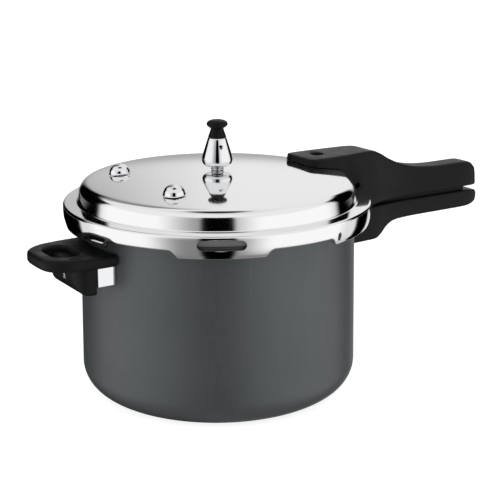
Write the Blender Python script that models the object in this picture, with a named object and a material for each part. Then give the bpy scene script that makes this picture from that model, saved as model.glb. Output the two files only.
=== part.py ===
"""Stovetop pressure cooker with a bayonet lid. Base centre at the origin, +Z up, long handles along +X."""

import math

import bmesh
import bpy
from mathutils import Matrix, Vector

# Driving dimensions, in millimetres and degrees.
MM = 0.001
POT_R, POT_WALL, POT_FLOOR, RIM_Z = 113.0, 3.0, 4.5, 153.0
LUG_R, LUG_Z0, LUG_Z1, LUG_HALF = 121.5, 144.4, 148.6, 11.0
TABS = [-120.0, -60.0, 0.0, 60.0, 120.0, 180.0]
DOME_R, DOME_Z, DOME_RISE, SHEET = 112.7, 174.6, 7.9, 2.2
SKIRT_R, LOW_Z, TAB_Z = 126.7, 147.5, 141.65
VALVE_R, VALVE_AZ, FLOAT_X = 80.5, 145.5, 100.5
VENT_TOP, WEIGHT_Z, WEIGHT_H = 199.6, 186.0, 38.0
GRIP_END, GAP_TOP, GAP_LOW = 278.0, 138.5, 134.2
SIDE_END, SIDE_TOP, SIDE_THICK = 164.5, 134.5, 9.5

for old in list(bpy.data.objects):
    bpy.data.objects.remove(old)


# ---- small helpers -------------------------------------------------------------------------
def material(name, colour, metallic, roughness):
    mat = bpy.data.materials.get(name) or bpy.data.materials.new(name)
    mat.use_nodes = True
    shader = mat.node_tree.nodes["Principled BSDF"]
    shader.inputs["Base Color"].default_value = (*colour, 1)
    shader.inputs["Metallic"].default_value = metallic
    shader.inputs["Roughness"].default_value = roughness
    mat.diffuse_color = (*colour, 1)
    return mat


ANODISED = material("hard_anodised", (0.07, 0.073, 0.075), 0.6, 0.5)
POLISHED = material("polished_aluminium", (0.86, 0.86, 0.87), 1.0, 0.08)
CHROME = material("chrome_plate", (0.8, 0.8, 0.82), 1.0, 0.05)
STEEL = material("bright_steel", (0.62, 0.62, 0.63), 1.0, 0.25)
BAKELITE = material("black_bakelite", (0.012, 0.012, 0.013), 0.0, 0.42)
SILICONE = material("grey_silicone", (0.45, 0.45, 0.46), 0.0, 0.55)


def build(name, points, faces, mat, sharp=35.0):
    """A mesh object from millimetre points, normals outward, smooth except across sharp edges."""
    mesh = bpy.data.meshes.new(name)
    mesh.from_pydata([Vector(p) * MM for p in points], [], faces)
    work = bmesh.new()
    work.from_mesh(mesh)
    bmesh.ops.recalc_face_normals(work, faces=work.faces)
    for face in work.faces:
        face.smooth = True
    for edge in work.edges:
        edge.smooth = len(edge.link_faces) == 2 and edge.calc_face_angle() < math.radians(sharp)
    work.to_mesh(mesh)
    work.free()
    mesh.materials.append(mat)
    obj = bpy.data.objects.new(name, mesh)
    bpy.context.scene.collection.objects.link(obj)
    return obj


def shift(points, move=(0, 0, 0), turn=None):
    matrix = Matrix.Translation(Vector(move)) @ (turn.to_4x4() if turn else Matrix.Identity(4))
    return [tuple(matrix @ Vector(p)) for p in points]


def lathe(name, profile, mat, steps=32, move=(0, 0, 0), turn=None):
    """Turns (r, z) points about Z. An open profile runs from axis to axis; a closed one has no r = 0."""
    points, faces, ends = [], [], {}
    closed = all(r > 0 for r, _ in profile)
    for i, (r, z) in enumerate(profile):
        if r == 0:
            ends[i] = len(points)
            points.append((0, 0, z))
            continue
        ends[i] = len(points)
        for k in range(steps):
            a = 2 * math.pi * k / steps
            points.append((r * math.cos(a), r * math.sin(a), z))
    pairs = list(zip(range(len(profile)), range(1, len(profile))))
    if closed:
        pairs.append((len(profile) - 1, 0))
    for i, j in pairs:
        for k in range(steps):
            m = (k + 1) % steps
            a, b, c, d = ends[i] + k, ends[i] + m, ends[j] + m, ends[j] + k
            if profile[i][0] == 0:
                faces.append((ends[i], c, d))
            elif profile[j][0] == 0:
                faces.append((a, b, ends[j]))
            else:
                faces.append((a, b, c, d))
    return build(name, shift(points, move, turn), faces, mat)


def rings(name, loops, mat, sharp=35.0, move=(0, 0, 0), turn=None):
    """Skins equal-length loops of points and caps both ends."""
    size = len(loops[0])
    points = [p for loop in loops for p in loop]
    faces = [tuple(range(size)), tuple(range(len(points) - size, len(points)))]
    for i in range(len(loops) - 1):
        for k in range(size):
            m = (k + 1) % size
            faces.append((i * size + k, i * size + m, (i + 1) * size + m, (i + 1) * size + k))
    return build(name, shift(points, move, turn), faces, mat, sharp)


def prism(name, outline, z0, z1, mat, move=(0, 0, 0), turn=None):
    return rings(name, [[(x, y, z) for x, y in outline] for z in (z0, z1)], mat, 35.0, move, turn)


def box(name, x0, x1, y0, y1, z0, z1, mat=STEEL):
    return prism(name, [(x0, y0), (x1, y0), (x1, y1), (x0, y1)], z0, z1, mat)


def circle(r, steps):
    return [(r * math.cos(2 * math.pi * k / steps), r * math.sin(2 * math.pi * k / steps)) for k in range(steps)]


def rod(name, r, x, y, z0, z1, steps=24):
    return prism(name, circle(r, steps), z0, z1, STEEL, (x, y, 0))


def combine(target, tool, operation="DIFFERENCE"):
    """Adds a live exact Boolean and keeps the tool out of the render."""
    tool.hide_render = True
    tool.display_type = "WIRE"
    modifier = target.modifiers.new(tool.name, "BOOLEAN")
    modifier.operation = operation
    modifier.solver = "EXACT"
    modifier.object = tool
    return target


def soften(obj, width, segments=2, angle=35.0):
    bevel = obj.modifiers.new("edge", "BEVEL")
    bevel.width = width * MM
    bevel.segments = segments
    bevel.limit_method = "ANGLE"
    bevel.angle_limit = math.radians(angle)
    return obj


def dome_z(r):
    return DOME_Z + DOME_RISE * (1 - (r / DOME_R) ** 2)


def polar(r, azimuth):
    return r * math.cos(math.radians(azimuth)), r * math.sin(math.radians(azimuth))


ALONG_X = Matrix.Rotation(math.pi / 2, 3, "Y")  # turns +Z to +X
ALONG_MINUS_X = Matrix.Rotation(-math.pi / 2, 3, "Y")


def rivet(name, start, end, y, z, head=4.0, shank=1.8):
    """Rivet along X from the outer head's face at start to the inner head's face at end."""
    span = abs(end - start)
    profile = [(0, 0), (head * 0.75, 0.15), (head, 1.0), (head, 1.4), (shank, 1.4), (shank, span - 1.4),
               (head, span - 1.4), (head, span - 0.8), (head * 0.8, span), (0, span)]
    turn = ALONG_MINUS_X if start > end else ALONG_X
    return lathe(name, profile, STEEL, 12, (start, y, z), turn)


def screw(name, length, move, turn=None, head=4.0, shank=1.9):
    """Pan-head screw with a cross slot; the head's face is at 0 and the shank runs up +Z."""
    profile = [(0, 0), (head * 0.7, 0.2), (head, 1.2), (head, 2.4), (shank, 2.4), (shank, length - 1),
               (shank - 0.6, length), (0, length)]
    body = lathe(name, profile, STEEL, 14, move, turn)
    cross = [(-2.3, -0.45), (-0.45, -0.45), (-0.45, -2.3), (0.45, -2.3), (0.45, -0.45), (2.3, -0.45),
             (2.3, 0.45), (0.45, 0.45), (0.45, 2.3), (-0.45, 2.3), (-0.45, 0.45), (-2.3, 0.45)]
    return combine(body, prism(name + "_cross", cross, -1, 1.3, STEEL, move, turn))


def nut(name, across_flats, bore, z0, z1, move, turn=None):
    body = prism(name, circle(across_flats / math.sqrt(3), 6), z0, z1, STEEL, move, turn)
    return combine(body, prism(name + "_bore", circle(bore, 16), z0 - 2, z1 + 2, STEEL, move, turn))


# ---- pot -----------------------------------------------------------------------------------
def make_pot():
    inner = POT_R - POT_WALL
    rounds = [(POT_R + 1.9 - 23 * (1 - math.sin(a)), 23 - 23 * math.cos(a))
              for a in [math.radians(v) for v in (0, 18, 36, 54, 72, 90)]]
    inside = [(inner - 20 * (1 - math.sin(a)), POT_FLOOR + 20 - 20 * math.cos(a))
              for a in [math.radians(v) for v in (90, 68, 45, 22, 0)]]
    profile = [(0, 0)] + rounds + [(POT_R, 148.6), (POT_R + 0.4, 149.2), (117.4, 149.2), (117.6, RIM_Z - 0.6),
                                   (117.0, RIM_Z), (inner + 0.5, RIM_Z), (inner, RIM_Z - 0.5)]
    pot = lathe("pot_body", profile + inside + [(0, POT_FLOOR)], ANODISED, 84)
    for k, middle in enumerate(TABS):
        angles = [middle - LUG_HALF + LUG_HALF * v / 4 for v in range(9)]
        outline = [polar(LUG_R, a) for a in angles] + [polar(POT_R - 1.5, a) for a in reversed(angles)]
        combine(pot, prism(f"lug_{k}", outline, LUG_Z0, LUG_Z1 + 1.5, ANODISED), "UNION")
    for y, z in ((0, 110.0), (0, 126.0)):
        combine(pot, lathe(f"pot_hole_{z:.0f}", [(0, -9), (2.1, -9), (2.1, 9), (0, 9)], STEEL, 16,
                           (POT_R, y, z), ALONG_X))
    for y in (-9, 9):
        combine(pot, lathe(f"side_hole_{y}", [(0, -9), (2.1, -9), (2.1, 9), (0, 9)], STEEL, 16,
                           (-POT_R, y, 115.6), ALONG_X))
    return pot


# ---- lid -----------------------------------------------------------------------------------
def lid_section(k, lip):
    """(r, z) loop of the pressed lid sheet. The drop k and the lip run from 0 between tabs to 1 on a tab."""
    bottom = LOW_Z + (TAB_Z - LOW_Z) * k
    low_r = SKIRT_R - 0.45 - 1.25 * k
    tip = low_r - 2.6 - 4.0 * lip
    outer = [(r, dome_z(r)) for r in (0, 45, 80, 104)]
    outer += [(106.4, DOME_Z + 0.86), (109.7, DOME_Z - 0.3), (111.9, DOME_Z - 2.5), (113.1, DOME_Z - 5.6),
              (114.6, 160.2), (116.4, 159.4), (124.4, 159.4), (126.1, 158.9), (SKIRT_R, 157.4),
              (low_r, bottom + 0.8), (low_r - 0.7, bottom)]
    inner = [(tip, bottom), (tip, bottom + 1.7), (low_r - 2.2, bottom + 2.0), (SKIRT_R - 2.2, 156.4),
             (123.6, 157.2), (112.4, 157.2), (110.8, DOME_Z - 4), (108.8, DOME_Z - 2.1)]
    inner += [(r, dome_z(r) - SHEET) for r in (104, 75, 40, 0)]
    return outer + inner


def make_lid():
    offsets = (-30, -24, -18, -17.1, -16.2, -15.4, -10, -5, 0, 5, 10, 15.4, 16.2, 17.1, 18, 24)
    angles = [middle + v for middle in TABS for v in offsets]
    share = {17.1: (0.4, 0.0), 16.2: (0.88, 0.1)}  # the lip ends before the sheet rises, to pass the lugs
    loops = []
    for v in offsets * len(TABS):
        loops.append(lid_section(*((0.0, 0.0) if abs(v) >= 18 else share.get(abs(v), (1.0, 1.0)))))
    size, points, faces = len(loops[0]), [], []
    points.append((0, 0, dome_z(0)))
    points.append((0, 0, dome_z(0) - SHEET))
    for angle, loop in zip(angles, loops):
        for r, z in loop[1:-1]:
            points.append((*polar(r, angle), z))
    count, width = len(angles), size - 2
    for i in range(count):
        j = (i + 1) % count
        a, b = 2 + i * width, 2 + j * width
        faces.append((0, a, b))
        faces.append((1, b + width - 1, a + width - 1))
        faces += [(a + n, a + n + 1, b + n + 1, b + n) for n in range(width - 1)]
    lid = build("lid_shell", points, faces, POLISHED, 40)
    cut_lid(lid)
    return lid


def cut_lid(lid):
    slot = [(18.5 - 3.55 + 3.55 * math.sin(a), 3.55 * math.cos(a)) for a in [math.pi * k / 8 for k in range(9)]]
    slot += [(-x, -y) for x, y in slot]
    stand = Matrix.Rotation(math.radians(TABS[0]), 3, "Z") @ Matrix.Rotation(math.pi / 2, 3, "Y") @ \
        Matrix.Rotation(math.pi / 2, 3, "Z")
    combine(lid, prism("window_slot", slot, 119.5, 132, STEEL, (0, 0, 152.3), stand))
    stop = box("stop_stub", 121.6, 125.2, -1.1, 1.1, 143.0, 150.5, POLISHED)
    stop.rotation_euler.z = math.radians(-73.9)
    combine(lid, stop, "UNION")
    for name, r, x, y in (("vent", 4.3, 0, 0), ("float", 3.9, FLOAT_X, 0),
                          ("valve_a", 4.3, *polar(VALVE_R, VALVE_AZ)),
                          ("valve_b", 4.3, *polar(VALVE_R, -VALVE_AZ))):
        combine(lid, rod("hole_" + name, r, x, y, 165, 190))
    for y in (-8, 8):
        combine(lid, lathe(f"lid_hole_{y}", [(0, -9), (2.1, -9), (2.1, 9), (0, 9)], STEEL, 16,
                           (POT_R, y, 167.6), ALONG_X))


def make_gasket():
    """Ring with a hanging web that shows in the window, and two lips pressed apart by the steam."""
    lathe("lid_gasket", [(107.5, 153.5), (119.2, 153.5), (119.2, 150.6), (122.6, 150.6), (123.6, 154.2),
                         (123.6, 156.2), (122.8, 156.9), (107.5, 156.9), (107.5, 155.8), (119.6, 155.6),
                         (119.6, 154.8), (107.5, 154.6)], SILICONE, 60)


# ---- long handles --------------------------------------------------------------------------
def section(x, low, high, half_low, half_high, chamfer):
    """One upright cross-section of a handle: flat underside, drafted sides, rounded top edges."""
    c = min(chamfer, half_high * 0.6, (high - low) * 0.45)
    near = [(half_low - 1.2, low), (half_low, low + 1.2), (half_high, high - c),
            (half_high - 0.3 * c, high - 0.3 * c), (half_high - c, high)]
    return [(x, y, z) for y, z in near] + [(x, -y, z) for y, z in reversed(near)]


def envelope(name, bottom):
    """What the lid sweeps as it turns, with clearance, so the handles clear the lid all round."""
    profile = [(0, bottom), (129.0, bottom), (129.0, 161.4), (127.0, 162.0), (117.4, 162.2),
               (115.4, DOME_Z - 4.6), (113.8, DOME_Z - 1.4), (110.8, DOME_Z + 1.1)]
    profile += [(r, dome_z(r) + 0.9) for r in (104, 90, 75, 60, 40)] + [(0, dome_z(0) + 0.9)]
    return lathe(name, profile, STEEL, 72)


def make_lid_handle():
    stations = [(80.0, 172, 183.4, 12.0, 10.5, 1.6), (81.4, 172, 184.1, 18.0, 16.0, 2.0),
                (84.5, 172, 184.6, 24.0, 19.6, 2.6), (96.0, 170, 184.7, 31.0, 19.8, 2.6),
                (115.0, 160, 184.8, 36.2, 19.2, 2.4), (132.0, GAP_TOP, 184.9, 31.4, 18.0, 2.2),
                (146.0, GAP_TOP, 184.9, 25.0, 16.5, 2.2), (153.0, GAP_TOP, 184.0, 21.4, 15.4, 3.0),
                (161.0, GAP_TOP, 180.8, 18.2, 14.4, 4.0), (172.0, GAP_TOP, 174.9, 15.4, 13.3, 5.0),
                (184.0, GAP_TOP, 169.6, 13.8, 12.2, 5.0), (198.0, GAP_TOP, 165.4, 13.0, 11.5, 5.0),
                (214.0, GAP_TOP, 162.7, 13.0, 11.5, 5.0), (232.0, GAP_TOP, 161.5, 13.2, 11.7, 5.0),
                (253.0, GAP_TOP, 161.4, 13.4, 12.0, 5.0), (268.0, GAP_TOP, 161.2, 13.2, 11.8, 5.0),
                (274.0, GAP_TOP, 158.6, 12.6, 11.0, 5.0), (GRIP_END, GAP_TOP + 0.6, 152.0, 10.6, 9.4, 4.0)]
    grip = rings("lid_handle_grip", [section(*s) for s in stations], BAKELITE, 28)
    combine(grip, envelope("lid_sweep", 120))
    combine(grip, rod("indicator_hole", 5.65, FLOAT_X, 0, 160, 200, 28))
    combine(grip, box("lid_foot_pocket", 112, 119.6, -12.8, 12.8, 161.0, 174.2))
    combine(grip, box("lid_tongue_pocket", 118, 166.4, -12.4, 12.4, 162.0, 164.6))
    for x in (138.0, 156.0):
        combine(grip, rod(f"lid_screw_way_{x:.0f}", 2.4, x, 0, 130, 168.5, 16))
        combine(grip, rod(f"lid_screw_seat_{x:.0f}", 4.6, x, 0, 130, 152, 20))
        screw(f"lid_handle_screw_{1 if x < 150 else 2}", 18.2, (x, 0, 149.4))
    return grip


def make_lid_bracket():
    foot = box("lid_handle_bracket", 114.6, 116.1, -12, 12, 162.6, 173.4)
    combine(foot, box("lid_tongue", 114.6, 166.0, -12, 12, 162.6, 164.2), "UNION")
    for x in (138.0, 156.0):
        combine(foot, rod(f"lid_tongue_hole_{x:.0f}", 2.3, x, 0, 160, 168, 16))
    for k, y in enumerate((-8, 8)):
        combine(foot, lathe(f"lid_foot_hole_{k}", [(0, -4), (2.1, -4), (2.1, 4), (0, 4)], STEEL, 16,
                            (115, y, 167.6), ALONG_X))
        rivet(f"lid_handle_rivet_{k + 1}", 117.9, 108.6, y, 167.6, 3.0)


def make_pot_handle():
    stations = [(116.6, 103.8, 131.0, 18.5, 18.5, 2.0), (130.0, 103.4, 133.6, 18.2, 18.2, 2.0),
                (146.0, 103.4, GAP_LOW, 17.4, 17.2, 2.0), (157.0, 103.8, GAP_LOW, 16.6, 16.4, 2.0),
                (162.0, 106.4, GAP_LOW, 15.8, 15.6, 2.0), (166.4, 110.2, GAP_LOW, 15.0, 14.8, 2.0),
                (171.0, 113.8, GAP_LOW, 14.4, 14.2, 2.0), (178.0, 116.6, GAP_LOW, 13.6, 13.4, 2.0),
                (190.0, 117.8, GAP_LOW, 13.0, 12.8, 2.0), (212.0, 118.2, GAP_LOW, 12.8, 12.8, 2.0),
                (242.0, 118.4, GAP_LOW, 13.2, 13.2, 2.0), (267.0, 118.8, GAP_LOW, 13.2, 13.2, 2.0),
                (274.5, 120.4, GAP_LOW - 0.3, 12.6, 12.4, 2.0), (279.5, 124.0, GAP_LOW - 2.0, 10.8, 10.4, 2.0)]
    loops = []
    for x, low, high, half_low, half_high, c in stations:
        near = [(half_low - 4.0, low), (half_low - 1.2, low + 1.2), (half_low, low + 4.0),
                (half_high, high - c), (half_high - c, high)]
        loops.append([(x, y, z) for y, z in near] + [(x, -y, z) for y, z in reversed(near)])
    grip = rings("pot_handle_grip", loops, BAKELITE, 28)
    combine(grip, box("rest_ridge", 127.0, 265.5, -8, 8, 130.5, GAP_TOP - 0.6, BAKELITE), "UNION")
    combine(grip, lathe("pot_sweep", [(0, 90), (117.0, 90), (117.0, 140), (0, 140)], STEEL, 96))
    combine(grip, box("pot_foot_pocket", 112, 120.4, -13.4, 13.4, 104.9, 131.2))
    combine(grip, box("pot_tongue_pocket", 118, 172.4, -10.4, 10.4, 118.6, 121.2))
    combine(grip, rod("pot_screw_way", 2.4, 146.0, 0, 95, 125.5, 16))
    combine(grip, rod("pot_screw_seat", 4.6, 146.0, 0, 95, 109.0, 20))
    screw("pot_handle_screw", 17.4, (146.0, 0, 106.4))
    return grip


def make_pot_bracket():
    foot = box("pot_handle_bracket", 114.1, 115.9, -13, 13, 105.4, 130.6)
    combine(foot, box("pot_tongue", 114.1, 172.0, -10, 10, 119.1, 120.7), "UNION")
    combine(foot, rod("pot_tongue_hole", 2.3, 146.0, 0, 115, 125, 16))
    for k, z in enumerate((110.0, 126.0)):
        combine(foot, lathe(f"pot_foot_hole_{k}", [(0, -4), (2.1, -4), (2.1, 4), (0, 4)], STEEL, 16,
                            (115.5, 0, z), ALONG_X))
        rivet(f"pot_handle_rivet_{k + 1}", 117.7, 108.2, 0, z)


# ---- side handle ---------------------------------------------------------------------------
def side_plan():
    """Outer and inner outlines of the finger loop, seen from above."""
    half = [(103.0, 33.5), (122.0, 33.5), (134.0, 32.6), (146.0, 30.8), (152.0, 28.4), (157.5, 24.6), (161.6, 20.0),
            (163.8, 14.6), (SIDE_END, 8.0)]
    hole = [(133.0, 12.6), (134.6, 15.6), (138.0, 17.4), (144.0, 17.2), (148.6, 15.8), (151.6, 13.0),
            (153.0, 9.0)]
    both = [[(-x, y) for x, y in line] + [(-x, -y) for x, y in reversed(line)] for line in (half, hole)]
    return both


def make_side_handle():
    outer, hole = side_plan()
    grip = soften(prism("side_handle_grip", outer, SIDE_TOP - SIDE_THICK, SIDE_TOP, BAKELITE), 2.2, 2)
    combine(grip, prism("finger_hole", hole, 90, 150, BAKELITE))
    stations = [(125.4, 103.4, 29.6), (131.0, 103.4, 29.4), (134.0, 104.0, 28.8), (136.6, 105.4, 27.6),
                (138.8, 108.0, 25.4), (140.4, 112.0, 22.4), (141.3, 117.0, 19.6), (141.8, 123.6, 18.0)]
    loops = []
    for x, low, half in stations:
        near = [(half - 3.5, low), (half - 1.0, low + 1.0), (half, low + 3.5), (half + 1.0, SIDE_TOP - 5.3)]
        loops.append([(-x, y, z) for y, z in near] + [(-x, -y, z) for y, z in reversed(near)])
    combine(grip, rings("side_block", loops, BAKELITE, 28), "UNION")
    combine(grip, box("side_pocket", -126.4, -100, -30.2, 30.2, 100, 128.6))
    combine(grip, lathe("side_sweep", [(0, 90), (115.2, 90), (115.2, 140), (0, 140)], STEEL, 96))
    across = lathe("side_screw_seat", [(0, 0), (4.6, 0), (4.6, 20), (0, 20)], STEEL, 20,
                   (-138.0, 0, 115.6), ALONG_MINUS_X)
    combine(grip, across)
    combine(grip, lathe("side_screw_way", [(0, 0), (2.4, 0), (2.4, 30), (0, 30)], STEEL, 16,
                        (-120, 0, 115.6), ALONG_MINUS_X))
    screw("side_handle_screw", 17.0, (-140.9, 0, 115.6), ALONG_X)
    return grip


def make_side_bracket():
    """Bright box channel: back plate bent round the pot, two cheeks, front plate that takes the screw."""
    body = box("side_handle_bracket", -126.0, -104, -29, 29, 110.0, 128.0)
    body.data.materials[0] = CHROME
    combine(body, lathe("side_bend", [(0, 90), (114.1, 90), (114.1, 140), (0, 140)], STEEL, 96))
    hollow = box("side_channel", -124.4, -104, -27.4, 27.4, 100, 140)
    combine(hollow, lathe("side_back", [(0, 90), (115.7, 90), (115.7, 150), (0, 150)], STEEL, 96))
    combine(body, hollow)
    combine(body, lathe("side_tongue_hole", [(0, 0), (2.3, 0), (2.3, 8), (0, 8)], STEEL, 16,
                        (-129, 0, 115.6), ALONG_X))
    for k, y in enumerate((-9, 9)):
        combine(body, lathe(f"side_foot_hole_{k}", [(0, -4), (2.1, -4), (2.1, 4), (0, 4)], STEEL, 16,
                            (-115.5, y, 115.6), ALONG_X))
        rivet(f"side_handle_rivet_{k + 1}", -117.6, -107.6, y, 115.6)


# ---- regulator and vent --------------------------------------------------------------------
def make_vent():
    lathe("vent_pipe", [(1.3, 166.0), (1.3, VENT_TOP), (2.2, VENT_TOP), (3.1, 198.4), (3.1, 185.6), (5.25, 185.2),
                        (5.25, 183.0), (3.9, 182.8), (3.9, 166.0)], STEEL, 20)
    lathe("vent_washer", [(4.3, 179.0), (8.0, 179.0), (8.0, 179.8), (4.3, 179.8)], SILICONE, 20)
    nut("vent_nut", 13.0, 4.25, 175.2, 178.7, (0, 0, 0))
    guard = lathe("vent_clog_guard", [(4.3, 170.6), (4.3, 174.8), (9.5, 174.8), (10.2, 174.2), (10.2, 163.6),
                                      (9.4, 162.8), (2.0, 162.8), (2.0, 163.8), (9.1, 163.8), (9.1, 170.0),
                                      (8.6, 170.6)], STEEL, 20)
    for k in range(6):
        turn = Matrix.Rotation(math.radians(60 * k), 3, "Z") @ ALONG_X
        combine(guard, lathe(f"guard_hole_{k}", [(0, 7), (1.3, 7), (1.3, 12), (0, 12)], STEEL, 8,
                             (0, 0, 166.8), turn))


def make_regulator():
    base = WEIGHT_Z
    outside = [(3.7, base), (8.6, base), (11.0, base + 0.9), (12.4, base + 2.8), (12.8, base + 5.0),
               (12.6, base + 7.2), (7.8, base + 22.6), (7.4, base + 23.2), (3.2, base + 23.2)]
    body = lathe("regulator_weight", outside + [(3.2, base + 20.4), (3.7, base + 20.4)], CHROME, 32)
    lathe("regulator_needle", [(0, base + 13.8), (1.0, base + 15.2), (2.9, base + 16.4), (2.9, base + 26.0),
                               (0, base + 26.0)], STEEL, 20)
    side = Matrix.Rotation(math.radians(-103.3), 3, "Z") @ ALONG_X
    combine(body, lathe("steam_hole", [(0, 4.2), (1.75, 4.2), (1.75, 16), (0, 16)], STEEL, 16,
                        (0, 0, base + 16.6), side))
    top = base + WEIGHT_H
    cap = lathe("regulator_cap", [(0, base + 26.3), (3.2, base + 26.3), (3.2, base + 23.5), (7.5, base + 23.5),
                                  (5.5, base + 29.4), (5.3, base + 30.4), (6.4, base + 31.4),
                                  (8.2, base + 33.0), (8.65, base + 34.4), (8.2, base + 35.8),
                                  (6.2, base + 37.2), (3.4, top), (0, top)], BAKELITE, 24)
    for y in (-2.4, 2.4):
        combine(cap, rod(f"cap_hole_{y:.0f}", 0.9, 0, y, top - 2.5, top + 3, 12))


# ---- safety valves and float valve ---------------------------------------------------------
def make_safety_valve(tag, azimuth):
    """Stands square to the dome: cap over a hollow stem, with a soft plug, a seal and a nut inside."""
    r, h = VALVE_R, dome_z(VALVE_R)
    lean = Matrix.Rotation(math.radians(azimuth), 3, "Z") @ \
        Matrix.Rotation(math.atan(2 * DOME_RISE * r / DOME_R ** 2), 3, "Y")
    place = ((*polar(r, azimuth), h), lean)
    arc = [(9.1 * math.cos(a), 0.7 + 7.7 * math.sin(a)) for a in [math.radians(v) for v in range(0, 90, 18)]]
    lathe(f"safety_{tag}_cap", [(0, 8.4)] + arc[::-1] + [(9.0, 0.6), (4.3, 0.6), (4.3, 5.0), (0, 5.0)],
          CHROME, 24, *place)
    lathe(f"safety_{tag}_stem", [(1.6, -12), (1.6, 4.6), (3.9, 4.6), (3.9, -12)], STEEL, 16, *place)
    lathe(f"safety_{tag}_seal", [(4.3, -3.8), (8.2, -3.8), (8.2, -2.7), (4.3, -2.7)], SILICONE, 16, *place)
    nut(f"safety_{tag}_nut", 12.0, 4.25, -7.7, -4.1, *place)
    lathe(f"safety_{tag}_plug", [(0, -11.6), (1.3, -11.6), (1.3, 1.0), (0, 1.0)], SILICONE, 12, *place)


def make_float_valve():
    top = dome_z(FLOAT_X)
    lathe("float_sleeve", [(2.3, top - 7.4), (2.3, top + 1.6), (4.7, top + 1.6), (5.0, top + 1.3), (5.0, top + 0.5),
                           (3.5, top + 0.5), (3.5, top - 7.4)], STEEL, 18, (FLOAT_X, 0, 0))
    nut("float_nut", 11.0, 3.85, top - 6.6, top - 3.4, (FLOAT_X, 0, 0))
    lathe("float_pin", [(0, top - 14.4), (3.8, top - 14.4), (3.8, top - 12.9), (2.0, top - 12.9),
                        (2.0, top + 1.9), (3.2, top + 1.9), (3.2, top + 3.1), (2.8, top + 3.4), (0, top + 3.4)],
          STEEL, 18, (FLOAT_X, 0, 0))
    lathe("float_seal", [(2.3, top - 12.6), (3.7, top - 12.6), (3.7, top - 11.6), (2.3, top - 11.6)], SILICONE,
          16, (FLOAT_X, 0, 0))


make_pot()
make_lid()
make_gasket()
make_lid_handle()
make_lid_bracket()
make_pot_handle()
make_pot_bracket()
make_side_handle()
make_side_bracket()
make_vent()
make_regulator()
make_safety_valve("a", VALVE_AZ)
make_safety_valve("b", -VALVE_AZ)
make_float_valve()
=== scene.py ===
import math

import bmesh
import bpy
from mathutils import Matrix, Vector


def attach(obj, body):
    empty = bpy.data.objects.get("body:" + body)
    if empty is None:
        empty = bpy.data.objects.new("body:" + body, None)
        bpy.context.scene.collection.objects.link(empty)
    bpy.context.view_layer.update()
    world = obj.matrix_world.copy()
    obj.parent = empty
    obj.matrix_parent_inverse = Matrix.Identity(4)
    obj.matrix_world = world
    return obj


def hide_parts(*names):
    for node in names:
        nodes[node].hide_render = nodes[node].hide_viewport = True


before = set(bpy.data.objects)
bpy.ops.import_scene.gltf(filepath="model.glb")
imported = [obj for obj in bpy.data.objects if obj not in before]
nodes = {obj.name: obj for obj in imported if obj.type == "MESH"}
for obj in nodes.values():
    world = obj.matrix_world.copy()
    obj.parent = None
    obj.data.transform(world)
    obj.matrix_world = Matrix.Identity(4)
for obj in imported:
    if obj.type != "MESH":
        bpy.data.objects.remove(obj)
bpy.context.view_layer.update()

# ---- Studio --------------------------------------------------------------------------------
# A pale seamless floor, a camera on the finger-loop side looking slightly down, and soft light all round.
# Dark flags beside and in front of the cooker give its polished metal the black bands that shape it.
camera = bpy.data.objects.new("camera", bpy.data.cameras.new("camera"))
bpy.context.scene.collection.objects.link(camera)
camera.location = (-0.5055, -0.8314, 0.389)
camera.rotation_euler = (math.radians(74.2), 0, math.radians(-32.874))
camera.data.lens, camera.data.sensor_width = 86.98, 36.0
camera.data.clip_end = 200
bpy.context.scene.camera = camera
bpy.context.scene.view_settings.view_transform = "Standard"

FLOOR_HALF, FLOOR_Z = 60.0, -0.0003
floor_mesh = bpy.data.meshes.new("floor")
shape = bmesh.new()
bmesh.ops.create_grid(shape, x_segments=1, y_segments=1, size=FLOOR_HALF)
bmesh.ops.translate(shape, vec=(0, 0, FLOOR_Z), verts=shape.verts)
shape.to_mesh(floor_mesh)
shape.free()
floor = bpy.data.objects.new("floor", floor_mesh)
bpy.context.scene.collection.objects.link(floor)
floor.visible_glossy = False

floor_paper = bpy.data.materials.new("floor_paper")
floor_paper.use_nodes = True
paper = floor_paper.node_tree.nodes["Principled BSDF"]
paper.inputs["Base Color"].default_value = (0.6, 0.6, 0.6, 1)
paper.inputs["Roughness"].default_value = 0.9
paper.inputs["Emission Color"].default_value = (1, 1, 1, 1)
paper.inputs["Emission Strength"].default_value = 0.82
floor_mesh.materials.append(floor_paper)

# Each light or flag: bearing from the camera side in degrees (right is positive), half width, softness of its
# sides, lowest and highest elevation, softness of its top and bottom, brightness. Later ones cover earlier.
CAMERA_BEARING = -121.3
ROOM_LIGHT, BACKDROP = 0.8, 0.98
PANELS = [
    (180, 70, 9, -6, 4, 5, 0.42), (180, 70, 9, 8, 95, 5, 0.88), (205, 17, 11, 0, 60, 4, 0.27),
    (0, 181, 1, 77, 95, 5, 0.02), (0, 104, 8, 24, 62, 6, 0.9), (0, 104, 8, -80, 24, 6, 1.04),
    (-7, 26, 20, -80, 30, 8, 0.36), (-8, 30, 22, -80, -9, 6, 0.24), (0, 181, 1, -95, -36, 16, 0.22),
    (0, 13.4, 2.5, -70, 33, 2.5, 0.0), (-136, 26, 4, -8, 32, 3, 0.0), (-150, 30, 3, -80, -8, 3, 0.0),
    (130, 18, 4, -8, 32, 3, 0.0), (136, 13, 3, -80, -8, 3, 0.0),
]
world = bpy.data.worlds.new("studio")
bpy.context.scene.world = world
world.use_nodes = True
tree = world.node_tree
background = tree.nodes["Background"]


def reckon(operation, *values):
    """One Math node; a value is a number or another node's socket."""
    step = tree.nodes.new("ShaderNodeMath")
    step.operation = operation
    for socket, value in zip(step.inputs, values):
        if isinstance(value, (int, float)):
            socket.default_value = value
        else:
            tree.links.new(value, socket)
    return step.outputs[0]


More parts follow.
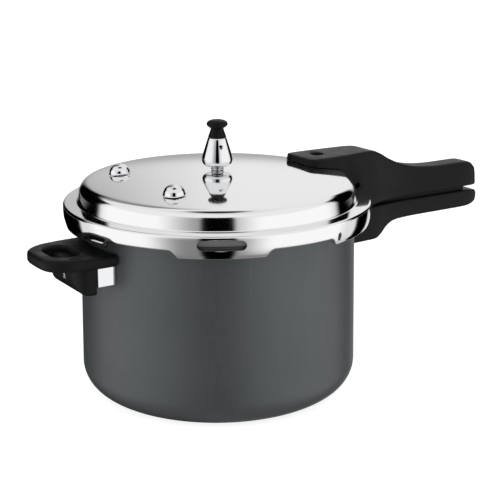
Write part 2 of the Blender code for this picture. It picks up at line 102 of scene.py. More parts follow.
def fade(value, start, end):
    """Smoothly from 0 at start to 1 at end, both in degrees."""
    step = tree.nodes.new("ShaderNodeMapRange")
    step.interpolation_type = "SMOOTHSTEP"
    tree.links.new(value, step.inputs["Value"])
    step.inputs["From Min"].default_value, step.inputs["From Max"].default_value = start, end
    return step.outputs[0]


split = tree.nodes.new("ShaderNodeSeparateXYZ")
tree.links.new(tree.nodes.new("ShaderNodeTexCoord").outputs["Generated"], split.inputs[0])
bearing = reckon("MULTIPLY", reckon("ARCTAN2", split.outputs["Y"], split.outputs["X"]), 180 / math.pi)
elevation = reckon("MULTIPLY", reckon("ARCSINE", split.outputs["Z"]), 180 / math.pi)
light = ROOM_LIGHT
for centre, half, side_soft, low, high, soft, brightness in PANELS:
    off = reckon("ABSOLUTE", reckon("WRAP", reckon("SUBTRACT", bearing, centre + CAMERA_BEARING), 180, -180))
    inside = reckon("SUBTRACT", 1, fade(off, half - side_soft, half + side_soft))
    inside = reckon("MULTIPLY", inside, fade(elevation, low - soft, low + soft))
    inside = reckon("MULTIPLY", inside, reckon("SUBTRACT", 1, fade(elevation, high - soft, high + soft)))
    light = reckon("MULTIPLY_ADD", inside, reckon("SUBTRACT", brightness, light), light)
seen = tree.nodes.new("ShaderNodeLightPath").outputs["Is Camera Ray"]
light = reckon("MULTIPLY_ADD", seen, reckon("SUBTRACT", BACKDROP, light), light)
tree.links.new(light, background.inputs["Color"])

# ---- Pot -----------------------------------------------------------------------------------
# Drawn aluminium pan, hard anodised dark grey inside and out. The rim is upset into a flange with six lugs,
# which the lid's tabs slide under. The wall leans in slightly towards the rim.
POT_R, POT_FOOT_R, POT_CORNER, RIM_Z = 113.0, 114.9, 23.0, 153.0
WALL, FLOOR = 3.0, 4.5
TAB_BEARINGS = [-120, -60, 0, 60, 120, 180]
FINE_STEPS = 720


def arc(centre_r, centre_z, radius, start, end, steps):
    """(radius, height) points on an arc, with angles from the outward direction in degrees."""
    angles = [math.radians(start + (end - start) * n / steps) for n in range(steps + 1)]
    return [(centre_r + radius * math.cos(a), centre_z + radius * math.sin(a)) for a in angles]


def turned(profile, steps=64, closed=False, section=None):
    """Spins a profile about the upright axis. A section gives the profile to take at each bearing."""
    shape = bmesh.new()
    place = shape.verts.layers.int.new("place")
    points = [shape.verts.new((r, 0, z)) for r, z in profile]
    for n, point in enumerate(points):
        point[place] = n
    for a, b in zip(points, points[1:] + (points[:1] if closed else [])):
        shape.edges.new((a, b))
    bmesh.ops.spin(shape, geom=shape.verts[:] + shape.edges[:], cent=(0, 0, 0), axis=(0, 0, 1),
                   angle=math.tau, steps=steps, use_merge=True)
    cut = {}
    for vert in shape.verts if section else []:
        turn = math.radians(round(math.degrees(math.atan2(vert.co.y, vert.co.x)) * 2) / 2)
        if turn not in cut:
            cut[turn] = section(math.degrees(turn))
        r, z = cut[turn][vert[place]]
        vert.co = (r * math.cos(turn), r * math.sin(turn), z)
    bmesh.ops.remove_doubles(shape, verts=shape.verts, dist=0.0005)
    bmesh.ops.recalc_face_normals(shape, faces=shape.faces)
    return shape


def finished(name, shape, finish, sharp=32):
    """The piece's object: scaled to metres, smooth except across sharp edges."""
    bmesh.ops.scale(shape, vec=(0.001, 0.001, 0.001), verts=shape.verts)
    for face in shape.faces:
        face.smooth = True
    for edge in shape.edges:
        edge.smooth = len(edge.link_faces) == 2 and edge.calc_face_angle(0) < math.radians(sharp)
    mesh = bpy.data.meshes.new(name)
    shape.to_mesh(mesh)
    shape.free()
    mesh.materials.append(finish)
    piece = bpy.data.objects.new(name, mesh)
    bpy.context.scene.collection.objects.link(piece)
    return piece


def new_finish(name, colour, metallic, roughness):
    finish = bpy.data.materials.new(name)
    finish.use_nodes = True
    shader = finish.node_tree.nodes["Principled BSDF"]
    shader.inputs["Base Color"].default_value = (*colour, 1)
    shader.inputs["Metallic"].default_value = metallic
    shader.inputs["Roughness"].default_value = roughness
    return finish


def noise_of(finish, scale, detail=3.0, stretch=(1, 1, 1)):
    """A Noise texture on the piece's own coordinates, per metre, stretched along its axes."""
    graph = finish.node_tree
    where, mapping = graph.nodes.new("ShaderNodeTexCoord"), graph.nodes.new("ShaderNodeMapping")
    mapping.inputs["Scale"].default_value = stretch
    noise = graph.nodes.new("ShaderNodeTexNoise")
    noise.inputs["Scale"].default_value = scale
    noise.inputs["Detail"].default_value = detail
    graph.links.new(where.outputs["Object"], mapping.inputs["Vector"])
    graph.links.new(mapping.outputs["Vector"], noise.inputs["Vector"])
    return noise


def vary(finish, socket, low, high, noise, span=(0.3, 0.7)):
    """Drives a shader socket between two numbers or two colours by a noise."""
    graph = finish.node_tree
    step = graph.nodes.new("ShaderNodeMapRange")
    step.inputs["From Min"].default_value, step.inputs["From Max"].default_value = span
    graph.links.new(noise.outputs["Fac"], step.inputs["Value"])
    out = step.outputs["Result"]
    if isinstance(low, tuple):
        blend = graph.nodes.new("ShaderNodeMix")
        blend.data_type = "RGBA"
        colours = [socket for socket in blend.inputs if socket.type == "RGBA"]
        colours[0].default_value, colours[1].default_value = (*low, 1), (*high, 1)
        graph.links.new(out, blend.inputs[0])
        out = [socket for socket in blend.outputs if socket.type == "RGBA"][0]
    else:
        step.inputs["To Min"].default_value, step.inputs["To Max"].default_value = low, high
    graph.links.new(out, graph.nodes["Principled BSDF"].inputs[socket])


def roughen(finish, *layers):
    """Bump from (noise, strength, depth in metres) layers, one after another."""
    graph = finish.node_tree
    last = None
    for noise, strength, depth in layers:
        bump = graph.nodes.new("ShaderNodeBump")
        bump.inputs["Strength"].default_value = strength
        bump.inputs["Distance"].default_value = depth
        graph.links.new(noise.outputs["Fac"], bump.inputs["Height"])
        if last:
            graph.links.new(last.outputs["Normal"], bump.inputs["Normal"])
        last = bump
    graph.links.new(last.outputs["Normal"], graph.nodes["Principled BSDF"].inputs["Normal"])


def near_bearings(bearings, full, none):
    """1 within full degrees of any of the bearings, 0 beyond none, even between."""
    def share(angle):
        off = min(abs((angle - b + 180) % 360 - 180) for b in bearings)
        return min(1.0, max(0.0, (none - off) / (none - full)))
    return share


anodised = new_finish("hard_anodised_grey", (0.093, 0.101, 0.105), 0.6, 0.42)
vary(anodised, "Base Color", (0.087, 0.095, 0.0985), (0.1, 0.108, 0.112), noise_of(anodised, 14, 5))
vary(anodised, "Roughness", 0.38, 0.46, noise_of(anodised, 260, 2, (1, 1, 0.3)))
roughen(anodised, (noise_of(anodised, 2600, 2), 0.25, 0.00004),
        (noise_of(anodised, 60, 2, (0.05, 0.05, 14)), 0.1, 0.00003))

foot = arc(POT_FOOT_R - POT_CORNER, POT_CORNER, POT_CORNER, -90, 0, 16)
rim_between = [(113.0, 146.6), (113.1, 148.6), (113.6, 149.2), (117.0, 149.2), (117.4, 149.3), (117.6, 149.6),
               (117.6, 149.7), (117.6, 149.8), (117.6, 149.9), (117.6, 150.1)]
rim_on_lug = [(113.0, 142.6), (113.1, 143.8), (113.6, 144.4), (120.7, 144.4), (121.3, 144.6), (121.5, 145.1),
              (121.5, 149.3), (121.3, 149.9), (120.8, 150.1), (117.7, 150.1)]
rim_top = arc(116.8, RIM_Z - 0.8, 0.8, 0, 90, 4) + arc(POT_R - WALL + 0.7, RIM_Z - 0.7, 0.7, 90, 180, 4)
pan_inside = arc(POT_R - WALL - 20, FLOOR + 20, 20, 0, -90, 12)
on_lug = near_bearings(TAB_BEARINGS, 10.4, 11.4)


def pot_section(angle):
    k = on_lug(angle)
    rim = [(r + (far_r - r) * k, z + (far_z - z) * k)
           for (r, z), (far_r, far_z) in zip(rim_between, rim_on_lug)]
    return [(0, 0), (40, 0), (80, 0)] + foot + [(114.0, 80)] + rim + rim_top + [(POT_R - WALL, 100)] + \
        pan_inside + [(50, FLOOR), (0, FLOOR)]


pot = finished("pot", turned(pot_section(0), FINE_STEPS, section=pot_section), anodised)
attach(pot, "pot")
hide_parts("pot_body")

# ---- Long pot handle -----------------------------------------------------------------------
# Lower half of the double handle, compression-moulded black phenolic. A steel angle bracket is riveted to the
# pan and held in the handle's pocket by one screw from below; the bracket, rivets and screw are CAD nodes.
# A ridge along its top stands just clear of the lid's handle and closes the gap between the two.
GAP_LOW, RIDGE_HEIGHT, POT_SCREW_X = 134.2, 3.7, 146.0
bakelite = new_finish("black_phenolic", (0.0075, 0.0079, 0.0086), 0.0, 0.4)
bakelite.node_tree.nodes["Principled BSDF"].inputs["Specular IOR Level"].default_value = 0.1
vary(bakelite, "Base Color", (0.0064, 0.0067, 0.0073), (0.0088, 0.0093, 0.0101), noise_of(bakelite, 30, 5))
vary(bakelite, "Roughness", 0.34, 0.44, noise_of(bakelite, 90, 4))
roughen(bakelite, (noise_of(bakelite, 1700, 3), 0.22, 0.00005), (noise_of(bakelite, 70, 2), 0.1, 0.0002))
steel = new_finish("bright_steel", (0.6, 0.6, 0.61), 1.0, 0.25)
vary(steel, "Roughness", 0.18, 0.34, noise_of(steel, 900, 3, (1, 1, 0.05)))
roughen(steel, (noise_of(steel, 1400, 2, (1, 1, 0.04)), 0.15, 0.00003))


def refinish(finish, *names):
    for name in names:
        for slot in nodes[name].material_slots:
            slot.material = finish


def flowing(rows, spacing):
    """Rows of numbers led by their place along a handle, filled in along smooth curves."""
    slopes = []
    for n in range(len(rows)):
        a, b = rows[max(n - 1, 0)], rows[min(n + 1, len(rows) - 1)]
        slopes.append([(q - p) / (b[0] - a[0]) for p, q in zip(a, b)])
    filled = []
    for a, b, leave, arrive in zip(rows, rows[1:], slopes, slopes[1:]):
        gap = b[0] - a[0]
        count = max(1, round(gap / spacing))
        for t in [n / count for n in range(count)]:
            filled.append([p * (1 + 2 * t) * (1 - t) ** 2 + q * t * t * (3 - 2 * t)
                           + gap * t * (1 - t) * (u * (1 - t) - v * t)
                           for p, q, u, v in zip(a, b, leave, arrive)])
    return filled + [rows[-1]]


def rounded(corners, steps=5):
    """A closed outline through (across, up, radius) corners, each one eased off."""
    outline = []
    for n, (across, up, radius) in enumerate(corners):
        corner = Vector((across, up))
        ends = []
        for other in (corners[n - 1], corners[(n + 1) % len(corners)]):
            side = Vector(other[:2]) - corner
            ends.append(corner + side.normalized() * min(radius, side.length * 0.45))
        for t in [m / steps for m in range(steps + 1)]:
            outline.append(ends[0] * (1 - t) ** 2 + corner * (2 * t * (1 - t)) + ends[1] * t * t)
    return outline


def lofted(loops):
    """Starts from the first outline's face and extrudes its rim from outline to outline."""
    shape = bmesh.new()
    place = shape.verts.layers.int.new("place")
    ring = [shape.verts.new(point) for point in loops[0]]
    for n, vert in enumerate(ring):
        vert[place] = n
    shape.faces.new(ring)
    edges = shape.edges[:]
    for loop in loops[1:]:
        grown = bmesh.ops.extrude_edge_only(shape, edges=edges)["geom"]
        edges = [part for part in grown if isinstance(part, bmesh.types.BMEdge)]
        for vert in [part for part in grown if isinstance(part, bmesh.types.BMVert)]:
            vert.co = loop[vert[place]]
    bmesh.ops.contextual_create(shape, geom=edges)
    bmesh.ops.recalc_face_normals(shape, faces=shape.faces)
    return shape


def joined(shape, tool, operation="DIFFERENCE"):
    """Exact Boolean of two closed shapes; both are used up."""
    pair = []
    for part in (shape, tool):
        mesh = bpy.data.meshes.new("part")
        part.to_mesh(mesh)
        part.free()
        pair.append(bpy.data.objects.new("part", mesh))
        bpy.context.scene.collection.objects.link(pair[-1])
    step = pair[0].modifiers.new("step", "BOOLEAN")
    step.operation, step.solver, step.object = operation, "EXACT", pair[1]
    result = bmesh.new()
    result.from_mesh(pair[0].evaluated_get(bpy.context.evaluated_depsgraph_get()).to_mesh())
    for thing in pair:
        bpy.data.objects.remove(thing)
    return result


def block(low, high):
    """A plain box between two corners, for cutting pockets."""
    shape = bmesh.new()
    bmesh.ops.create_cube(shape, size=1)
    bmesh.ops.scale(shape, vec=Vector(high) - Vector(low), verts=shape.verts)
    bmesh.ops.translate(shape, vec=(Vector(low) + Vector(high)) / 2, verts=shape.verts)
    return shape


def peg(radius, low, high, place=(0, 0, 0), turn=Matrix.Identity(3), steps=40):
    """A round cutter; turn takes +Z to its axis."""
    shape = turned([(0, low), (radius, low), (radius, high), (0, high)], steps)
    bmesh.ops.transform(shape, matrix=Matrix.Translation(place) @ turn.to_4x4(), verts=shape.verts)
    return shape


pot_handle_rows = [
    (116.6, 103.8, 131.0, 18.5, 18.5), (130.0, 103.4, 133.6, 18.2, 18.2), (146.0, 103.4, GAP_LOW, 17.4, 17.2),
    (157.0, 103.8, GAP_LOW, 16.6, 16.4), (162.0, 106.4, GAP_LOW, 15.8, 15.6),
    (166.4, 110.2, GAP_LOW, 15.0, 14.8), (171.0, 113.8, GAP_LOW, 14.4, 14.2),
    (178.0, 116.6, GAP_LOW, 13.6, 13.4), (190.0, 117.8, GAP_LOW, 13.0, 12.8),
    (212.0, 118.2, GAP_LOW, 12.8, 12.8), (242.0, 118.4, GAP_LOW, 13.2, 13.2),
    (267.0, 118.8, GAP_LOW, 13.2, 13.2), (274.0, 120.2, GAP_LOW - 0.2, 12.7, 12.6),
    (277.4, 121.7, GAP_LOW - 0.8, 11.9, 11.7), (279.5, 124.2, GAP_LOW - 2.2, 10.4, 10.0)]
pot_grip = lofted([[(x, y, z) for y, z in rounded([(wide, low, 4.0), (top, high, 2.2), (-top, high, 2.2),
                                                   (-wide, low, 4.0)])]
                   for x, low, high, wide, top in flowing(pot_handle_rows, 2.5)])
ridge = block((127.0, -8, 130.5), (265.5, 8, GAP_LOW + RIDGE_HEIGHT))
bmesh.ops.bevel(ridge, geom=ridge.edges[:], offset=0.8, segments=2, profile=0.5, affect="EDGES", material=-1)
pot_grip = joined(pot_grip, ridge, "UNION")
pot_grip = joined(pot_grip, peg(117.0, 90, 140, steps=180))
pot_grip = joined(pot_grip, block((112, -13.4, 104.9), (120.4, 13.4, 131.2)))
pot_grip = joined(pot_grip, block((118, -10.4, 118.6), (172.4, 10.4, 121.2)))
pot_grip = joined(pot_grip, peg(4.6, 95, 109, (POT_SCREW_X, 0, 0)))
pot_grip = joined(pot_grip, peg(2.4, 95, 125.5, (POT_SCREW_X, 0, 0)))
pot_handle = finished("pot_handle", pot_grip, bakelite)
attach(pot_handle, "pot")
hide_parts("pot_handle_grip")
refinish(steel, "pot_handle_bracket", "pot_handle_rivet_1", "pot_handle_rivet_2", "pot_handle_screw")

# ---- Finger loop ---------------------------------------------------------------------------
# Short helper handle opposite the long ones: a phenolic loop with a block under it that takes the screw.
# It is held off the pan by a bright box bracket, bent round the pan and riveted on, whose cheeks show.
SIDE_TOP, SIDE_THICK, LOOP_ROUND, LOOP_SCREW_Z = 134.5, 9.5, 3.0, 115.6
loop_rows = [(-28.9, 103.4), (-31.2, 104.0), (-32.8, 105.6), (-33.4, 108.0), (-33.4, 122.0), (-32.6, 134.0),
             (-30.8, 146.0), (-28.4, 152.0), (-24.6, 157.5), (-20.0, 161.6), (-14.6, 163.8), (-8.0, 164.5)]
hole_rows = [(-12.6, 133.0), (-15.6, 134.6), (-17.4, 138.0), (-17.2, 144.0), (-15.8, 148.6), (-13.0, 151.6),
             (-9.0, 153.0)]


def plan(rows, steps):
    """A closed outline, mirrored across the loop's middle, with its points spread evenly."""
    half = [Vector((-far, across, 0)) for across, far in rows]
    line = half + [Vector((p.x, -p.y, 0)) for p in reversed(half)]
    lengths = [(b - a).length for a, b in zip(line, line[1:] + line[:1])]
    spots, total = [], sum(lengths)
    for k in range(steps):
        left, n = total * k / steps, 0
        while left > lengths[n]:
            left -= lengths[n]
            n += 1
        spots.append(line[n].lerp(line[(n + 1) % len(line)], left / lengths[n]))
    for _ in range(2):
        spots = [p * 0.5 + (spots[k - 1] + spots[(k + 1) % steps]) * 0.25 for k, p in enumerate(spots)]
    return spots


def plate(outline, low, high, ease):
    """An outline made thick, with its two rims rounded over."""
    shape = bmesh.new()
    face = shape.faces.new([shape.verts.new((p.x, p.y, low)) for p in outline])
    grown = bmesh.ops.extrude_face_region(shape, geom=[face])["geom"]
    bmesh.ops.translate(shape, vec=(0, 0, high - low),
                        verts=[part for part in grown if isinstance(part, bmesh.types.BMVert)])
    bmesh.ops.recalc_face_normals(shape, faces=shape.faces)
    rims = [e for e in shape.edges if abs(e.verts[0].co.z - e.verts[1].co.z) < 0.01]
    if ease:
        bmesh.ops.bevel(shape, geom=rims, offset=ease, segments=5, profile=0.5, affect="EDGES", material=-1)
    return shape


loop_shape = plate(plan(loop_rows, 120), SIDE_TOP - SIDE_THICK, SIDE_TOP, LOOP_ROUND)
finger_hole = [(90, 0.0), (SIDE_TOP - SIDE_THICK + 0.6, 0.0), (SIDE_TOP - 2.4, 0.0), (SIDE_TOP - 1.4, 0.25),
               (SIDE_TOP - 0.6, 0.85), (SIDE_TOP, 1.9), (SIDE_TOP + 4, 6.0)]
hole_line, middle = plan(hole_rows, 72), Vector((-143.0, 0, 0))
loop_shape = joined(loop_shape, lofted(
    [[(*(p + (p - middle).normalized() * flare).xy, z) for p in hole_line] for z, flare in finger_hole]))
block_rows = [(125.4, 103.4, 29.6), (131.0, 103.4, 29.4), (134.0, 104.0, 28.8), (136.6, 105.4, 27.6),
              (138.8, 108.0, 25.4), (140.4, 112.0, 22.4), (141.3, 117.0, 19.6), (141.8, 123.6, 18.0)]
loop_block = lofted([[(-x, y, z) for y, z in rounded([(wide, low, 4.0), (wide + 1, SIDE_TOP - 4.7, 0.5),
                                                      (-wide - 1, SIDE_TOP - 4.7, 0.5), (-wide, low, 4.0)])]
                     for x, low, wide in flowing(block_rows, 1.5)])
loop_shape = joined(loop_shape, loop_block, "UNION")
ALONG_MINUS_X = Matrix.Rotation(-math.pi / 2, 3, "Y")
loop_shape = joined(loop_shape, block((-126.4, -30.2, 100), (-100, 30.2, 128.6)))
loop_shape = joined(loop_shape, peg(115.2, 90, 140, steps=180))
loop_shape = joined(loop_shape, peg(4.6, 0, 20, (-138.0, 0, LOOP_SCREW_Z), ALONG_MINUS_X))
loop_shape = joined(loop_shape, peg(2.4, 0, 30, (-120.0, 0, LOOP_SCREW_Z), ALONG_MINUS_X))
finger_loop = finished("finger_loop", loop_shape, bakelite)
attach(finger_loop, "pot")
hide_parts("side_handle_grip")

chrome = new_finish("chrome_plate", (0.84, 0.845, 0.86), 1.0, 0.04)
vary(chrome, "Roughness", 0.02, 0.07, noise_of(chrome, 120, 4))
roughen(chrome, (noise_of(chrome, 130, 2), 0.03, 0.0001), (noise_of(chrome, 3000, 1), 0.03, 0.000004))
channel = block((-126.0, -29, 110.0), (-104, 29, 128.0))
uprights = [e for e in channel.edges if abs(e.verts[0].co.z - e.verts[1].co.z) > 1]
bmesh.ops.bevel(channel, geom=uprights, offset=1.8, segments=6, profile=0.5, affect="EDGES", material=-1)
channel = joined(channel, peg(114.1, 90, 140, steps=180))
hollow = joined(block((-124.4, -27.4, 100), (-104, 27.4, 140)), peg(115.7, 90, 150, steps=180))
channel = joined(channel, hollow)
channel = joined(channel, peg(2.3, 0, 8, (-123.0, 0, LOOP_SCREW_Z), ALONG_MINUS_X))
side_bracket = finished("finger_loop_bracket", channel, chrome)
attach(side_bracket, "pot")
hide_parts("side_handle_bracket")
refinish(steel, "side_handle_rivet_1", "side_handle_rivet_2", "side_handle_screw")

# ---- Sealing ring --------------------------------------------------------------------------
# Grey silicone channel ring that sits under the lid's flange; steam presses its two lips apart. Its outer web
# hangs a little lower and can be seen through the window in the skirt.
silicone = new_finish("grey_silicone", (0.13, 0.13, 0.135), 0.0, 0.5)
vary(silicone, "Base Color", (0.115, 0.115, 0.12), (0.145, 0.145, 0.15), noise_of(silicone, 60, 4))
roughen(silicone, (noise_of(silicone, 900, 3), 0.2, 0.00008))
ring_profile = [(107.5, 153.5), (119.2, 153.5), (119.2, 150.9), (119.5, 150.6), (122.3, 150.6),
                (122.7, 151.0), (123.5, 153.9), (123.6, 154.4), (123.6, 156.2), (123.2, 156.7),
                (122.4, 156.9), (107.5, 156.9), (107.5, 155.8), (119.6, 155.6), (119.6, 154.8),
                (107.5, 154.6)]
sealing_ring = finished("sealing_ring", turned(ring_profile, 240, closed=True), silicone)
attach(sealing_ring, "gasket")
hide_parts("lid_gasket")

# ---- Lid -----------------------------------------------------------------------------------
# Pressed aluminium sheet, mirror polished: shallow dome, upright wall, flat flange and a skirt with six low
# tabs whose lips turn in under the pot's lugs. One window shows the sealing ring; a slit marks the stop.
DOME_R, DOME_Z, DOME_RISE, SHEET = 112.7, 174.6, 7.9, 2.2
SKIRT_R, SKIRT_Z, LOW_Z, TAB_Z = 126.7, 157.4, 147.5, 141.65
CURL, CURL_POWER = 0.00063, 2.867
FLOAT_X = 100.5
polished = new_finish("polished_aluminium", (0.9, 0.9, 0.905), 1.0, 0.08)
vary(polished, "Roughness", 0.05, 0.1, noise_of(polished, 22, 4))
roughen(polished, (noise_of(polished, 9, 2), 0.05, 0.0004), (noise_of(polished, 1500, 2), 0.05, 0.00001))


def dome_z(r):
    return DOME_Z + DOME_RISE * (1 - (r / DOME_R) ** 2)


def skirt_r(z):
    """Outer radius of the skirt, which curls in a little towards the foot of the tabs."""
    return SKIRT_R - CURL * max(0.0, SKIRT_Z - z) ** CURL_POWER


tab_drop, tab_lip = near_bearings(TAB_BEARINGS, 15.2, 18.4), near_bearings(TAB_BEARINGS, 14.2, 15.2)


def lid_section(angle):
    """Lid section as one line from the axis over the outside and back inside to the axis."""
    drop, lip = tab_drop(angle) ** 2, tab_lip(angle)
    bottom = LOW_Z + (TAB_Z - LOW_Z) * drop
    low_r = skirt_r(bottom)
    tip = low_r - 2.6 - 4.0 * lip
    top = [(r, dome_z(r)) for r in range(0, 103, 6)] + arc(104.57, 166.62, 9.0, 82.5, 8.3, 13)
    flange = arc(116.1, 161.0, 1.6, 188.3, 270, 6) + arc(124.7, 157.4, 2.0, 90, 0, 8)
    levels = [155.5, 153.5, 151.5, 149.5] + [149.5 + (bottom + 0.7 - 149.5) * n / 5 for n in range(1, 5)]
    skirt = [(skirt_r(z), z) for z in levels] + arc(low_r - 0.7, bottom + 0.7, 0.7, 0, -90, 4)
    inner = arc(tip + 0.6, bottom + 0.6, 0.6, -90, -180, 3) + [(tip, bottom + 1.2), (tip + 0.5, bottom + 1.7)]
    inner += [(low_r - 2.6, bottom + 1.9), (low_r - 2.2, bottom + 2.6), (SKIRT_R - 2.2, 156.2),
              (SKIRT_R - 3.0, 157.2), (112.6, 157.2), (112.1, 157.8), (110.9, 167.6), (109.4, 170.6),
              (107.0, 172.6)]
    return top + flange + skirt + inner + [(r, dome_z(r) - SHEET) for r in (102, 84, 64, 42, 20, 0)]


def slot_outline(half_length, half_height, steps=14):
    """A slot with round ends, as (along, up) points."""
    ends = []
    for side in (1, -1):
        for n in range(steps + 1):
            a = math.pi * (n / steps - 0.5)
            ends.append((side * (half_length - half_height + half_height * math.cos(a)),
                         side * half_height * math.sin(a)))
    return ends


lid_shape = turned(lid_section(0), FINE_STEPS, section=lid_section)
WINDOW_BEARING, WINDOW_Z = TAB_BEARINGS[0], 152.3
WINDOW = [(119.5, 18.3, 3.6), (125.0, 18.3, 3.6), (125.6, 18.45, 3.75), (126.2, 18.8, 4.1),
          (126.6, 19.4, 4.7), (127.6, 21.2, 6.5)]
window = lofted([[(r, x, z + WINDOW_Z) for x, z in slot_outline(length, height)]
                 for r, length, height in WINDOW])
bmesh.ops.rotate(window, cent=(0, 0, 0), verts=window.verts,
                 matrix=Matrix.Rotation(math.radians(WINDOW_BEARING), 3, "Z"))
lid_shape = joined(lid_shape, window)
STOP_BEARING, STOP_Z = -73.9, 147.6
slit = lofted([[(r, x, z + STOP_Z) for z, x in slot_outline(height, width)] for r, height, width in
               ((122.0, 3.1, 1.8), (125.8, 3.1, 1.8), (126.4, 3.4, 2.2), (127.2, 4.2, 3.0))])
bmesh.ops.rotate(slit, cent=(0, 0, 0), verts=slit.verts,
                 matrix=Matrix.Rotation(math.radians(STOP_BEARING), 3, "Z"))
lid_shape = joined(lid_shape, slit)
for radius, x in ((4.3, 0), (3.9, FLOAT_X)):
    lid_shape = joined(lid_shape, peg(radius, 160, 190, (x, 0, 0)))
lid = finished("lid", lid_shape, polished)
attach(lid, "lid")
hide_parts("lid_shell")

# ---- Long lid handle -----------------------------------------------------------------------
# Upper half of the double handle, same phenolic. Its broad head reaches over the lid to an indicator hole
# above the float valve, then falls away to the grip. Bracket, rivets and two screws hold it to the lid wall.
GAP_TOP = 138.5
LID_CLEAR, LID_SCREWS = 0.45, (138.0, 156.0)
lid_handle_rows = [
    (80.0, 172, 182.4, 12.0, 9.5, 1.4), (80.5, 172, 183.4, 15.4, 12.6, 1.8),
    (81.4, 172, 184.1, 18.6, 16.0, 2.2), (83.0, 172, 184.5, 22.2, 18.7, 2.5),
    (85.5, 172, 184.6, 24.8, 19.7, 2.6), (96.0, 170, 184.7, 31.0, 19.8, 2.6),
    (115.0, 160, 184.8, 36.2, 19.2, 2.4), (132.0, GAP_TOP, 184.9, 31.4, 18.0, 2.2),
    (146.0, GAP_TOP, 184.9, 25.0, 16.5, 2.2), (153.0, GAP_TOP, 184.0, 21.4, 15.4, 2.8),
    (161.0, GAP_TOP, 180.8, 18.2, 14.4, 3.8), (172.0, GAP_TOP, 174.9, 15.4, 13.3, 4.6),
    (184.0, GAP_TOP, 169.6, 13.8, 12.2, 5.0), (198.0, GAP_TOP, 165.4, 13.0, 11.5, 5.0),
    (214.0, GAP_TOP, 162.7, 13.0, 11.5, 5.0), (232.0, GAP_TOP, 161.5, 13.2, 11.7, 5.0),
    (253.0, GAP_TOP, 161.4, 13.4, 12.0, 5.0), (267.0, GAP_TOP, 161.2, 13.2, 11.8, 5.0),
    (272.5, GAP_TOP, 159.8, 12.8, 11.3, 5.0), (276.2, GAP_TOP + 0.2, 156.6, 12.0, 10.4, 4.6),
    (278.0, GAP_TOP + 1.0, 151.6, 10.4, 9.2, 4.0)]
lid_grip = lofted([[(x, y, z) for y, z in rounded([(wide, low, 1.6), (top, high, ease), (-top, high, ease),
                                                   (-wide, low, 1.6)], 6)]
                   for x, low, high, wide, top, ease in flowing(lid_handle_rows, 2.5)])
lid_sweep = [(0, 120), (129.0, 120), (129.0, 161.2), (127.0, 161.9), (117.6, 162.0), (115.4, 163.8)]
lid_sweep += arc(104.57, 166.62, 9.0 + LID_CLEAR, 8.3, 82.5, 8) + [(r, dome_z(r) + LID_CLEAR) for r in
                                                                  (102, 90, 75, 60, 40, 0)]
lid_grip = joined(lid_grip, turned(lid_sweep, 180))
indicator = [(0, 160), (5.65, 160), (5.65, 183.9), (5.8, 184.35), (6.15, 184.7), (7.6, 185.6), (0, 185.6)]
hole = turned(indicator, 64)
bmesh.ops.translate(hole, vec=(FLOAT_X, 0, 0), verts=hole.verts)
lid_grip = joined(lid_grip, hole)
lid_grip = joined(lid_grip, block((112, -12.8, 161.0), (119.6, 12.8, 174.2)))
lid_grip = joined(lid_grip, block((118, -12.4, 162.0), (166.4, 12.4, 164.6)))
for x in LID_SCREWS:
    lid_grip = joined(lid_grip, peg(4.6, 130, 152, (x, 0, 0)))
    lid_grip = joined(lid_grip, peg(2.4, 130, 168.5, (x, 0, 0)))
lid_handle = finished("lid_handle", lid_grip, bakelite)
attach(lid_handle, "lid")
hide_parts("lid_handle_grip")
refinish(steel, "lid_handle_bracket", "lid_handle_rivet_1", "lid_handle_rivet_2", "lid_handle_screw_1",
         "lid_handle_screw_2")

# ---- Float valve ---------------------------------------------------------------------------
# Steel pin in a sleeve screwed through the dome; steam lifts it into the indicator hole. Turned bright,
# with a nut and a silicone seal under the lid.
top = dome_z(FLOAT_X)
sleeve_profile = [(2.3, top - 7.4), (2.3, top + 1.3), (2.6, top + 1.6), (4.5, top + 1.6), (4.9, top + 1.4),
                  (5.0, top + 1.0), (5.0, top + 0.5), (3.5, top + 0.5), (3.5, top - 7.4)]
pin_profile = [(0, top - 14.4), (3.6, top - 14.4), (3.8, top - 14.1), (3.8, top - 12.9), (2.0, top - 12.9),
               (2.0, top + 1.9), (3.2, top + 1.9), (3.2, top + 2.9), (2.9, top + 3.3), (2.2, top + 3.4),
               (0, top + 3.4)]
for name, node, profile, body, closed in (("float_valve_sleeve", "float_sleeve", sleeve_profile, "lid", True),
                                          ("float_valve_pin", "float_pin", pin_profile, "float", False)):
    shape = turned(profile, 40, closed)
    bmesh.ops.translate(shape, vec=(FLOAT_X, 0, 0), verts=shape.verts)
    part = finished(name, shape, steel)
    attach(part, body)
    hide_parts(node)
refinish(steel, "float_nut")
refinish(silicone, "float_seal")

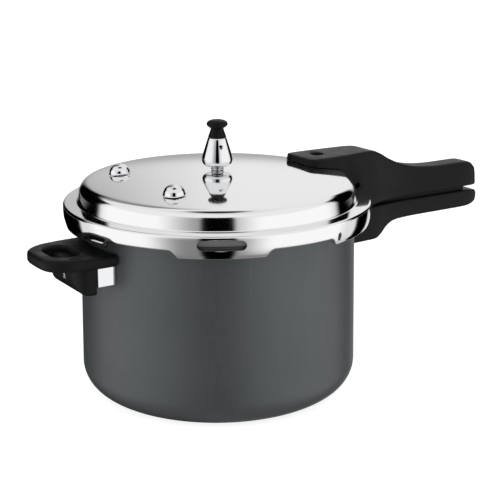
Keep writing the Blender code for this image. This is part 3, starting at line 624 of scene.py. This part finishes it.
# ---- Safety valves -------------------------------------------------------------------------
# Two chromed caps on hollow stems, standing square to the dome. Behind each cap a soft plug blows out if the
# vent is blocked; stem, nut, seal and plug are CAD nodes under the lid.
VALVE_R, VALVE_BEARING = 80.5, 145.5
cap_top = [(8.5 * math.cos(math.radians(a)), 1.6 + 6.7 * math.sin(math.radians(a))) for a in range(0, 90, 6)]
cap_profile = [(0, 8.3)] + cap_top[:0:-1] + [(8.6, 1.5), (8.85, 1.1), (9.05, 0.85), (8.95, 0.65), (4.3, 0.6),
                                             (4.3, 5.0), (0, 5.0)]
for tag, side in (("a", 1), ("b", -1)):
    azimuth = side * math.radians(VALVE_BEARING)
    lean = Matrix.Rotation(azimuth, 4, "Z") @ \
        Matrix.Rotation(math.atan(2 * DOME_RISE * VALVE_R / DOME_R ** 2), 4, "Y")
    shape = turned(cap_profile, 72)
    stand = Matrix.Translation((VALVE_R * math.cos(azimuth), VALVE_R * math.sin(azimuth), dome_z(VALVE_R)))
    bmesh.ops.transform(shape, matrix=stand @ lean, verts=shape.verts)
    cap = finished(f"safety_valve_cap_{tag}", shape, chrome)
    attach(cap, "lid")
    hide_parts(f"safety_{tag}_cap")
    refinish(steel, f"safety_{tag}_stem", f"safety_{tag}_nut")
    refinish(silicone, f"safety_{tag}_seal", f"safety_{tag}_plug")

# ---- Vent pipe -----------------------------------------------------------------------------
# Turned steel pipe through the middle of the dome; its shoulder shows under the weight and the thin neck goes
# up into it. Nut, washer and clog guard hold it inside.
vent_profile = [(1.3, 166.0), (1.3, 199.6), (2.2, 199.6), (3.1, 198.4), (3.1, 185.6), (4.7, 185.5),
                (5.25, 185.0), (5.25, 184.5), (4.6, 184.1), (5.25, 183.7), (5.25, 183.1), (3.9, 182.8),
                (3.9, 166.0)]
vent = finished("vent_pipe_turned", turned(vent_profile, 64, closed=True), steel)
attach(vent, "lid")
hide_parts("vent_pipe")
refinish(steel, "vent_nut", "vent_clog_guard")
refinish(silicone, "vent_washer")

# ---- Regulator weight ----------------------------------------------------------------------
# Chromed brass weight that rests on the vent pipe and rocks as steam lifts it, with a steam hole in its side.
# A needle inside closes the pipe; a black phenolic cap with two fine holes keeps fingers off the hot metal.
BASE, STEAM_BEARING, STEAM_UP = 186.0, -103.3, 16.6
weight_profile = [(3.7, 0), (8.4, 0), (9.6, 0.25), (10.8, 0.8), (11.8, 1.8), (12.4, 3.0), (12.75, 4.4),
                  (12.8, 5.6), (12.6, 7.2), (12.1, 9.0), (7.9, 22.4), (7.7, 22.9), (7.3, 23.2), (3.2, 23.2),
                  (3.2, 20.4), (3.7, 20.4)]
weight_shape = turned([(r, z + BASE) for r, z in weight_profile], 128, closed=True)
steam_turn = Matrix.Rotation(math.radians(STEAM_BEARING), 3, "Z") @ Matrix.Rotation(math.pi / 2, 3, "Y")
weight_shape = joined(weight_shape, peg(1.75, 4.2, 16, (0, 0, BASE + STEAM_UP), steam_turn))
weight = finished("weight", weight_shape, chrome)
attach(weight, "weight")
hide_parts("regulator_weight")
cap_profile = [(0, 26.3), (3.2, 26.3), (3.2, 23.5), (7.2, 23.5), (7.5, 23.8), (7.3, 24.4), (6.5, 26.6),
               (5.7, 28.8), (5.35, 30.0), (5.4, 30.7), (6.0, 31.4), (7.0, 32.0), (7.9, 32.7), (8.45, 33.5),
               (8.65, 34.4), (8.5, 35.2), (8.0, 36.0), (7.0, 36.8), (5.4, 37.5), (3.4, 37.9), (1.6, 38.0),
               (0, 38.0)]
cap_shape = turned([(r, z + BASE) for r, z in cap_profile], 96)
for y in (-2.4, 2.4):
    cap_shape = joined(cap_shape, peg(0.9, BASE + 35.5, BASE + 41, (0, y, 0), steps=24))
weight_cap = finished("weight_cap", cap_shape, bakelite)
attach(weight_cap, "weight")
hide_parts("regulator_cap")
refinish(steel, "regulator_needle")
